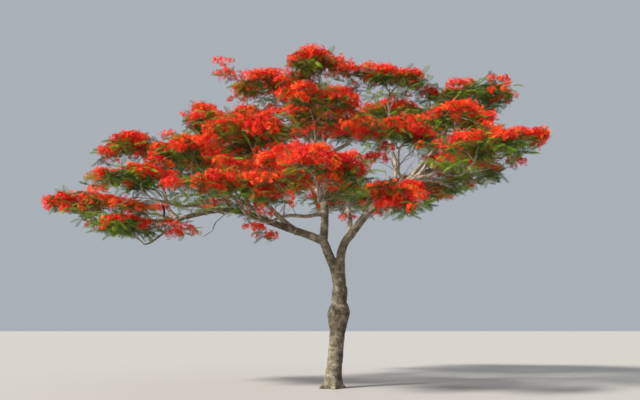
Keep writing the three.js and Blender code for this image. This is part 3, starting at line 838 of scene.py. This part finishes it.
def carve_bark(mesh, limbs):
    """Moves corners along their normals: lumps, ridges up the wood and wrinkles round it."""
    radius_at = nearest_radius(limbs)
    count = len(mesh.vertices)
    places, normals = np.empty((2, count, 3))
    mesh.vertices.foreach_get("co", places.ravel())
    mesh.vertices.foreach_get("normal", normals.ravel())
    rise = np.empty(count)
    for i, place in enumerate(places):
        p = Vector(place)
        lump = noise.noise(p * LUMP_SCALE) + 0.5 * noise.noise(p * SMALL_LUMP_SCALE)
        ridge = 1 - 2 * abs(noise.noise(Vector(place * RIDGE_SCALE)))
        ring = noise.noise(Vector(place * WRINKLE_SCALE))
        rise[i] = min(1, radius_at(p) / FULL_RELIEF) * (LUMP * lump + RIDGE * ridge + WRINKLE * ring)
    rise += trunk_relief(places)
    shift = normals * rise[:, None]
    shift[places[:, 2] < SOLE, 2] = 0
    mesh.vertices.foreach_set("co", (places + shift).ravel())
    mesh.update()


def trunk_relief(places):
    """The burl's crease and ear-shaped fold, and the toes between the roots at the trunk's foot."""
    x, y, z = places.T
    near_trunk = np.hypot(x - TRUNK_LEAN * MM * z / (FORK_HEIGHT * MM), y) < TRUNK_REACH
    sway = CREASE_SWAY * np.sin(3 * np.arctan2(y, x) + 1)
    crease = -CREASE_DEPTH * np.exp(-(((z - CREASE_HEIGHT - sway) / CREASE_WIDTH) ** 2))
    gap = norm((places - FOLD_CENTRE) * FOLD_STRETCH, axis=1)
    fold = FOLD_DEPTH * np.cos(math.tau * gap / FOLD_PITCH) * np.exp(-((gap / FOLD_REACH) ** 2))
    lobe = np.maximum(0, np.cos(ROOT_LOBES * np.arctan2(y, x) + LOBE_TURN)) ** 2
    toe = TOE_REACH * lobe * np.exp(-((z / TOE_HEIGHT) ** 2))
    return np.where(near_trunk, crease + fold + toe, 0)


def weld(thing):
    """Turns overlapping tubes into one skin, with its forks smoothed."""
    remesh = thing.modifiers.new("remesh", "REMESH")
    remesh.mode = "VOXEL"
    remesh.voxel_size = VOXEL
    smooth = thing.modifiers.new("smooth", "SMOOTH")
    smooth.iterations = SMOOTHING
    graph = bpy.context.evaluated_depsgraph_get()
    mesh = bpy.data.meshes.new_from_object(thing.evaluated_get(graph))
    thing.modifiers.clear()
    thing.data = mesh


def cut_flat(mesh):
    """Cuts the trunk off at ground level and closes the cut."""
    bm = bmesh.new()
    bm.from_mesh(mesh)
    geometry = bm.verts[:] + bm.edges[:] + bm.faces[:]
    cut = bmesh.ops.bisect_plane(bm, geom=geometry, plane_co=(0, 0, 0), plane_no=(0, 0, -1), clear_outer=True)
    edges = [e for e in cut["geom_cut"] if isinstance(e, bmesh.types.BMEdge)]
    bmesh.ops.contextual_create(bm, geom=edges)
    bm.to_mesh(mesh)
    bm.free()


def make_wood(limbs):
    bark = bark_material("bark_trunk")
    stout = [trunk_tube()] + [limb_tube(limbs[name], sides=24) for name in STOUT_LIMBS]
    frame_wood = add_mesh("trunk_and_limbs", *joined(stout), bark)
    weld(frame_wood)
    skin = frame_wood.data
    cut_flat(skin)
    carve_bark(skin, limbs)
    skin.materials.clear()
    skin.materials.append(bark)
    skin.shade_smooth()
    slim = [name for name in limbs if name not in STOUT_LIMBS and name != "trunk"]
    tubes = [limb_tube(limbs[name], sides=11) for name in slim]
    boughs = add_mesh("boughs", *joined(tubes), bark_material("bark_bough"), True)
    carve_bark(boughs.data, limbs)
    finish_piece(frame_wood, "bark", ["trunk", *STOUT_LIMBS])
    finish_piece(boughs, "bark", slim)


def finish_piece(piece, slot, nodes):
    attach(piece, "root")
    if nodes:
        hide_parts(*nodes)


# Flowers and leaves as templates

def flower_template(belly, tip):
    """Folded petals round a middle, in a petal's length, that open towards +Z."""
    corners, faces = [], []
    for i in range(PETALS):
        angle = math.tau * i / PETALS
        out, side = level(angle), level(angle + math.pi / 2) * PETAL_HALF_WIDTH
        middle = out * PETAL_BELLY + UP * belly
        first = len(corners)
        corners += [out * PETAL_FOOT, middle + side, out + UP * tip, middle - side]
        faces += [(first, first + 2, first + 1), (first, first + 3, first + 2)]
    return np.array(corners), np.array(faces)


def frond_template(start_slope, end_slope):
    """A feathery leaf that springs along +X and droops: a rib with pairs of folded blades."""
    steps = BLADE_PAIRS + 1
    slopes = np.radians(np.linspace(start_slope, end_slope, steps + 1))
    aheads = np.stack([np.cos(slopes), 0 * slopes, np.sin(slopes)], 1)
    stride = FROND_LENGTH / steps
    rib = np.concatenate([[[0, 0, 0]], np.cumsum(stride * aheads[:-1], axis=0)])
    side = np.array([0.0, 1.0, 0.0])
    corners, faces = [], []
    for pick, i in enumerate(np.linspace(0, steps, RIB_STEPS + 1).round().astype(int)):
        half = RIB_HALF_WIDTH * (1 - RIB_TAPER * i / steps)
        corners += [rib[i] + side * half, rib[i] - side * half]
        if pick:
            a = 2 * pick - 2
            faces += [(a, a + 1, a + 3), (a, a + 3, a + 2)]
    parts = [(np.array(corners), np.array(faces))]
    for i in range(2, steps + 1):
        share = (i - 2) / (steps - 2)
        outline = math.sin(math.pi * (OUTLINE_START + OUTLINE_RUN * share)) ** OUTLINE_POWER
        length = FROND_WIDTH / 2 * outline
        ahead = aheads[i]
        over = np.array([-ahead[2], 0, ahead[0]])
        wide = ahead * stride * BLADE_HALF_WIDTH
        lift = over * stride * BLADE_FOLD
        for hand in (1, -1):
            forward = BLADE_AHEAD + BLADE_AHEAD_RISE * share
            way = unit(side * hand * BLADE_ASIDE + ahead * forward - over * BLADE_DROOP)
            middle = rib[i] + way * length * 0.5
            blade = np.array([rib[i], middle + wide + lift, rib[i] + way * length, middle - wide + lift])
            order = [(0, 1, 2), (0, 2, 3)] if hand < 0 else [(0, 2, 1), (0, 3, 2)]
            parts.append((blade, np.array(order)))
    return joined(parts)


def turns_to(normals, spins):
    """Rotation matrices that take +Z to each normal, after a spin about +Z."""
    helper = np.where(np.abs(normals[:, [2]]) > 0.9, [[1.0, 0, 0]], [[0, 0, 1.0]])
    x = np.cross(helper, normals)
    x /= norm(x, axis=1)[:, None]
    y = np.cross(normals, x)
    c, s = np.cos(spins)[:, None], np.sin(spins)[:, None]
    return np.stack([x * c + y * s, -x * s + y * c, normals], axis=2)


def frond_turns(bearings, tilts, rolls):
    """Rotation matrices that roll a frond along +X, tilt it and turn it to its bearing."""
    cb, sb, ct, st = np.cos(bearings), np.sin(bearings), np.cos(tilts), np.sin(tilts)
    ahead = np.stack([ct * cb, ct * sb, st], 1)
    side = np.stack([-sb, cb, 0 * cb], 1)
    over = np.stack([-st * cb, -st * sb, ct], 1)
    c, s = np.cos(rolls)[:, None], np.sin(rolls)[:, None]
    return np.stack([ahead, side * c + over * s, over * c - side * s], axis=2)


# Crown

def bent(start, middle, end, steps):
    """A curve from start to end that passes through middle."""
    t = np.linspace(0, 1, steps + 1)[:, None]
    pull = 2 * middle - (start + end) / 2
    return (1 - t) ** 2 * start + 2 * t * (1 - t) * pull + t * t * end


def crooked(path, crook, reach):
    """The path with its inner points moved at random."""
    path[1:-1] += rng.normal(0, crook, (len(path) - 2, 3)) * reach
    return path


def twig_radius(tips):
    return TWIG_RADIUS * max(1, tips) ** PIPE_POWER


def least_rise(mass):
    if mass["name"] in MAIN_BOUGHS:
        return LEAST_RISE_MAIN
    return LEAST_RISE_LOW if mass["centre"][2] < LOW_CENTRE else LEAST_RISE


def side_twigs(line, habit, least):
    """Where twigs spring from a bough, turned evenly about it, with their way, reach and lift."""
    length = norm(np.diff(line, axis=0), axis=1).sum()
    count = round(length * habit["per_metre"])
    phase = rng.uniform(0, math.tau)
    for i in range(count):
        share = habit["first"] + (1 - habit["first"]) * (i + rng.uniform(*habit["slack"])) / count
        start, heading = along(line, share)
        side = unit(np.cross(heading, UP))
        turn = phase + i * GOLDEN_ANGLE
        lift = habit["lift"] + habit["lift_swing"] * math.cos(turn)
        aside = habit["aside"] * math.sin(turn) * side
        way = unit(habit["ahead"] * heading + aside + lift * np.cross(side, heading))
        way[2] = max(way[2], least)
        yield start, way, rng.uniform(*habit["reach"]), lift


def inside_box(points, margin):
    low, high = np.array(CAD_BOX[0]), np.array(CAD_BOX[1])
    return np.all((points > low + margin) & (points < high - margin), axis=1)


def of_shade(groups, shade):
    """The groups whose last item is the shade, with each of their other items joined."""
    *columns, _ = zip(*(group for group in groups if group[-1] == shade))
    return [np.concatenate(column) for column in columns]


class Crown:
    """Gathers every twig, flower and frond of the crown before they are made into meshes."""

    def __init__(self, limbs):
        self.wood = []
        self.flowers = []
        self.fronds = []
        stout = [limbs[name] for name in STOUT_LIMBS]
        self.limb_points = np.concatenate([limb["fine"] for limb in stout])
        self.limb_radii = np.concatenate([limb["radii"] for limb in stout])

    def clear_of_limbs(self, point):
        """How far a point lies from the nearest stout limb's bark."""
        return (norm(self.limb_points - point, axis=1) - self.limb_radii).min()

    def add_wood(self, path, radii, sides, closed=True):
        """A tube whose radius runs from the first of two values to the second."""
        self.wood.append(tube(path, np.linspace(*radii, len(path)), sides, closed))

    def add_mass(self, k, masses, seams):
        mass = masses[k]
        hub, twigs = grow_twigs(k, masses, seams)
        radii = (mass["stem"], min(mass["stem"], twig_radius(len(twigs)) * STEM_THICKENING))
        middle = (mass["mouth"] + hub) / 2 + UP * STEM_ARCH
        self.add_wood(bent(mass["mouth"], middle, hub, 4), radii, sides=7)
        for twig in twigs:
            start, end = twig["from"]["point"], twig["site"]["point"]
            low, high = twig_radius(twig["half"]["tips"]), twig_radius(twig["end"]["tips"])
            path = bent(start, twig["half"]["point"], end, 4)
            crooked(path, TWIG_CROOK, min(1, norm(end - start)))
            self.add_wood(path, (low, high), sides=5 if low > THICK_TWIG else 3)
            self.add_shoots(twig["site"], twig["end"]["ahead"], mass)

    def add_sprays(self, mass):
        """Side sprays along a bough's outer part, thinly spread between the masses."""
        for start, way, reach, lift in side_twigs(mass["line"], SPRAYS, least_rise(mass)):
            end = start + way * reach
            flowers = rng.uniform() < SPRAY_BLOOM * mass["bloom"]
            middle = (start + end) / 2 + UP * SPRAY_ARCH * reach
            path = crooked(bent(start, middle, end, 5), SPRAY_CROOK, reach)
            self.add_wood(path, SPRAY_RADII, sides=5)
            # An upward spray counts as high in its mass, so its leaves take more of the painted sunlit green,
            # a downward one more of the painted shade green
            site = {"point": end, "drop": HIGH_DROP - lift, "flowers": flowers}
            self.add_shoots(site, unit(path[-1] - path[-2]), mass)

    def add_bare_twigs(self, line):
        """Bare forked twigs all along a bough, where the leaves let the sky through."""
        for start, way, reach, _ in side_twigs(line, BARE_TWIGS, 0):
            self.add_bare_twig(start, way, reach, BARE_RADIUS, BARE_FORKS)

    def add_bare_twig(self, start, way, reach, radius, forks):
        end = start + way * reach
        path = bent(start, (start + end) / 2 + rng.normal(0, BARE_CROOK, 3) * reach, end, 4)
        self.add_wood(path, (radius, radius * BARE_TAPER), sides=3, closed=False)
        for _ in range(2 if forks else 0):
            place, ahead = along(path, rng.uniform(*BARE_FORK_AT))
            turned = unit(ahead + rng.normal(0, BARE_FORK_TURN, 3))
            turned[2] = max(turned[2], BARE_FORK_RISE)
            shorter = reach * rng.uniform(*BARE_FORK_REACH)
            self.add_bare_twig(place, turned, shorter, radius * BARE_FORK_RADIUS, forks - 1)

    def add_hanging_sprays(self, mass):
        """Small flowering sprays that hang under the mass's bough."""
        for share in HANGING_AT:
            start, heading = along(mass["line"], share)
            east, north, drop = (rng.uniform(*limits) for limits in HANGING_REACH)
            end = start + [east, north, -drop]
            middle = (start + end) / 2 + heading * HANGING_BEND
            self.add_wood(bent(start, middle, end, 4), HANGING_RADII, sides=4)
            # These count as lowest in the mass, so their leaves take more of the painted shade green
            self.add_shoots({"point": end, "drop": 1, "flowers": True}, unit(end - start), mass)

    def add_dead_twig(self, line):
        """The long bare twig that hangs from a bough, with a short side twig."""
        path = along(line, DEAD_TWIG_AT)[0] + np.array(DEAD_TWIG)
        self.add_wood(path, DEAD_TWIG_RADII, sides=5)
        self.add_bare_twig(path[2], unit(np.array(DEAD_FORK_WAY)), DEAD_FORK_REACH, DEAD_FORK_RADIUS, 0)

    def add_pod(self, line):
        """The long flat seed pod that hangs from a bough on a short stalk."""
        start = along(line, POD_AT)[0]
        drop = np.linspace(0, 1, POD_STEPS)[:, None]
        path = start + drop * POD_LINE + np.sin(math.pi * drop) * POD_BEND + POD_TOP
        self.add_wood([start, path[0]], (STALK_RADIUS, STALK_RADIUS), sides=4)
        outline = np.sqrt(np.sin(math.pi * np.linspace(*POD_ENDS, POD_STEPS)))
        corners, faces = tube(path, POD_WIDTH * outline, sides=6)
        middle = path.mean(0)
        self.pod = (middle + (corners - middle) * [1, POD_FLATNESS, 1], faces)

    def add_shoots(self, site, ahead, mass):
        """Fans shoots out of a twig's end, each with flowers or with leaves."""
        kind = FLOWERING if site["flowers"] else LEAFY
        vigour = rng.uniform(*VIGOUR) * min(1, mass["spread"] + SMALL_VIGOUR)
        count = max(2, round(kind["shoots"] * vigour))
        outward = unit((site["point"] - mass["centre"]) * [1, 1, OUTWARD_FLATNESS] + 1e-6)
        start_turn = rng.uniform(0, math.tau)
        for i in range(count):
            outer = math.sqrt((i + 0.5) / count)
            bearing = start_turn + i * GOLDEN_ANGLE
            tilt = math.radians(FAN_START + FAN_BREADTH * outer)
            fan = level(bearing) * math.sin(tilt) + UP * math.cos(tilt)
            way = unit(fan + SHOOT_OUTWARD * outward + SHOOT_AHEAD * ahead)
            reach = SHOOT_REACH[0] + (SHOOT_REACH[1] - SHOOT_REACH[0]) * outer
            reach *= rng.uniform(*SHOOT_VARIATION)
            end = site["point"] + way * reach * [1, 1, SHOOT_FLATNESS]
            middle = (site["point"] + end) / 2 - UP * SHOOT_SAG * reach
            self.add_wood(bent(site["point"], middle, end, 2), SHOOT_RADII, sides=3, closed=False)
            if rng.uniform() < kind["blooming"]:
                self.add_truss(end, way)
            else:
                self.add_fronds(end, site, LEAFY_WHORL)
        if site["flowers"]:
            self.add_fronds(site["point"], site, UNDER_WHORL)

    def add_truss(self, point, way):
        """A dome of flowers round a shoot's end."""
        if self.clear_of_limbs(point) < TRUSS_RADIUS:
            return
        facing = unit(way + UP * TRUSS_LIFT)
        count = int(rng.integers(*FLOWERS_IN_TRUSS, endpoint=True))
        i = np.arange(count)
        z = 1 - TRUSS_COVER * (i + 0.5) / count
        ring = np.sqrt(np.clip(1 - z * z, 0, 1))
        angle = i * GOLDEN_ANGLE + rng.uniform(0, math.tau)
        local = np.stack([ring * np.cos(angle), ring * np.sin(angle), z], 1)
        normals = local @ turns_to(facing[None], np.zeros(1))[0].T
        depths = TRUSS_RADIUS * rng.uniform(*TRUSS_DEPTH, (count, 1))
        places = point + normals * depths * [1, 1, TRUSS_FLATNESS]
        normals = normals + rng.normal(0, FLOWER_SWAY, (count, 3))
        normals /= norm(normals, axis=1)[:, None]
        self.flowers.append((places, normals, int(rng.choice(len(REDS), p=RED_SHARES))))

    def add_fronds(self, point, site, whorl):
        """A whorl of arching fronds."""
        if self.clear_of_limbs(point) < FROND_CLEARANCE:
            return
        # Painted light: high sites take more of the painted sunlit green, low ones more of the painted shade
        # green
        shares = HIGH_PAINTED_SUN_SHARES if site["drop"] < HIGH_DROP else LOW_PAINTED_SHADE_SHARES
        shade = int(rng.choice(len(GREENS), p=shares))
        count = whorl["count"]
        bearings = rng.uniform(0, math.tau) + np.arange(count) * math.tau / count
        bearings += rng.normal(0, BEARING_SWAY, count)
        tilts = np.radians(rng.uniform(*whorl["tilt"], count))
        rolls = rng.normal(0, ROLL_SWAY, count)
        sizes = rng.uniform(*whorl["size"], count)
        self.fronds.append((np.repeat(point[None], count, 0), bearings, tilts, rolls, sizes, shade))

    def build(self, nodes):
        make_pieces("twigs", *joined(self.wood), bark_material("bark_twig"), "bark", nodes, True)
        make_pieces("seed_pod", *self.pod, bark_material("pod"), "bark", [], True)
        for shade, (name, colour) in enumerate(REDS.items()):
            material = soft_material("petal_" + name, colour, PETAL_ROUGHNESS, PETAL_GLOW)
            make_pieces("blossom_" + name, *self.blossom(shade), material, "blossom", nodes)
        for shade, (name, colour) in enumerate(GREENS.items()):
            material = soft_material("leaf_" + name, colour, LEAF_ROUGHNESS, LEAF_GLOW)
            make_pieces("leaves_" + name, *self.foliage(shade), material, "foliage", nodes)

    def blossom(self, shade):
        """Every flower of one red, as corners and faces."""
        places, normals = of_shade(self.flowers, shade)
        keep = inside_box(places, FLOWER_MARGIN)
        places, normals = places[keep], normals[keep]
        kinds = rng.integers(0, len(FLOWER_SHAPES), len(places))
        parts = []
        for kind, shape in enumerate(FLOWER_SHAPES):
            chosen = kinds == kind
            count = int(chosen.sum())
            turns = turns_to(normals[chosen], rng.uniform(0, math.tau, count))
            sizes = PETAL * rng.uniform(*FLOWER_SIZE, count)
            parts.append(scattered(flower_template(*shape), places[chosen], turns, sizes))
        return joined(parts)

    def foliage(self, shade):
        """Every frond of one green, as corners and faces."""
        places, bearings, tilts, rolls, sizes = of_shade(self.fronds, shade)
        outward = np.stack([np.cos(bearings), np.sin(bearings), np.full(len(bearings), -FROND_FALL)], 1)
        keep = inside_box(places + outward * FROND_REACH, FROND_END_MARGIN) & inside_box(places, FROND_MARGIN)
        kinds = rng.integers(0, len(FROND_SLOPES), len(places))
        parts = []
        for kind, slopes in enumerate(FROND_SLOPES):
            chosen = (kinds == kind) & keep
            turns = frond_turns(bearings[chosen], tilts[chosen], rolls[chosen])
            parts.append(scattered(frond_template(*slopes), places[chosen], turns, sizes[chosen]))
        return joined(parts)


def make_pieces(name, corners, faces, material, slot, nodes, smooth=False):
    """One mesh, or several numbered ones where it has too many triangles."""
    count = math.ceil(len(faces) / MOST_TRIANGLES)
    for i, part in enumerate(np.array_split(faces, count)):
        used, index = np.unique(part, return_inverse=True)
        label = name if count == 1 else f"{name}_{i + 1}"
        piece = add_mesh(label, corners[used], index.reshape(part.shape), material, smooth)
        finish_piece(piece, slot, nodes)


def make_crown(limbs, masses):
    crown = Crown(limbs)
    seams = seam_sites(masses)
    for k, mass in enumerate(masses):
        crown.add_mass(k, masses, seams)
        crown.add_sprays(mass)
        if mass["spread"] > SMALL_SPREAD:
            crown.add_bare_twigs(mass["line"])
    crown.add_hanging_sprays(next(mass for mass in masses if mass["name"] == "west_tip"))
    crown.add_dead_twig(limbs["west_bough"]["fine"])
    crown.add_pod(limbs["southwest_outer_bough"]["fine"])
    crown.build([mass["name"] for mass in masses])


make_camera()
make_light()
make_floor()
limbs, masses = lay_out()
make_wood(limbs)
make_crown(limbs, masses)

boxes = {"cad": CAD_BOX, "visual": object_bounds()}
{name: [list(corner) for corner in box] for name, box in boxes.items()}
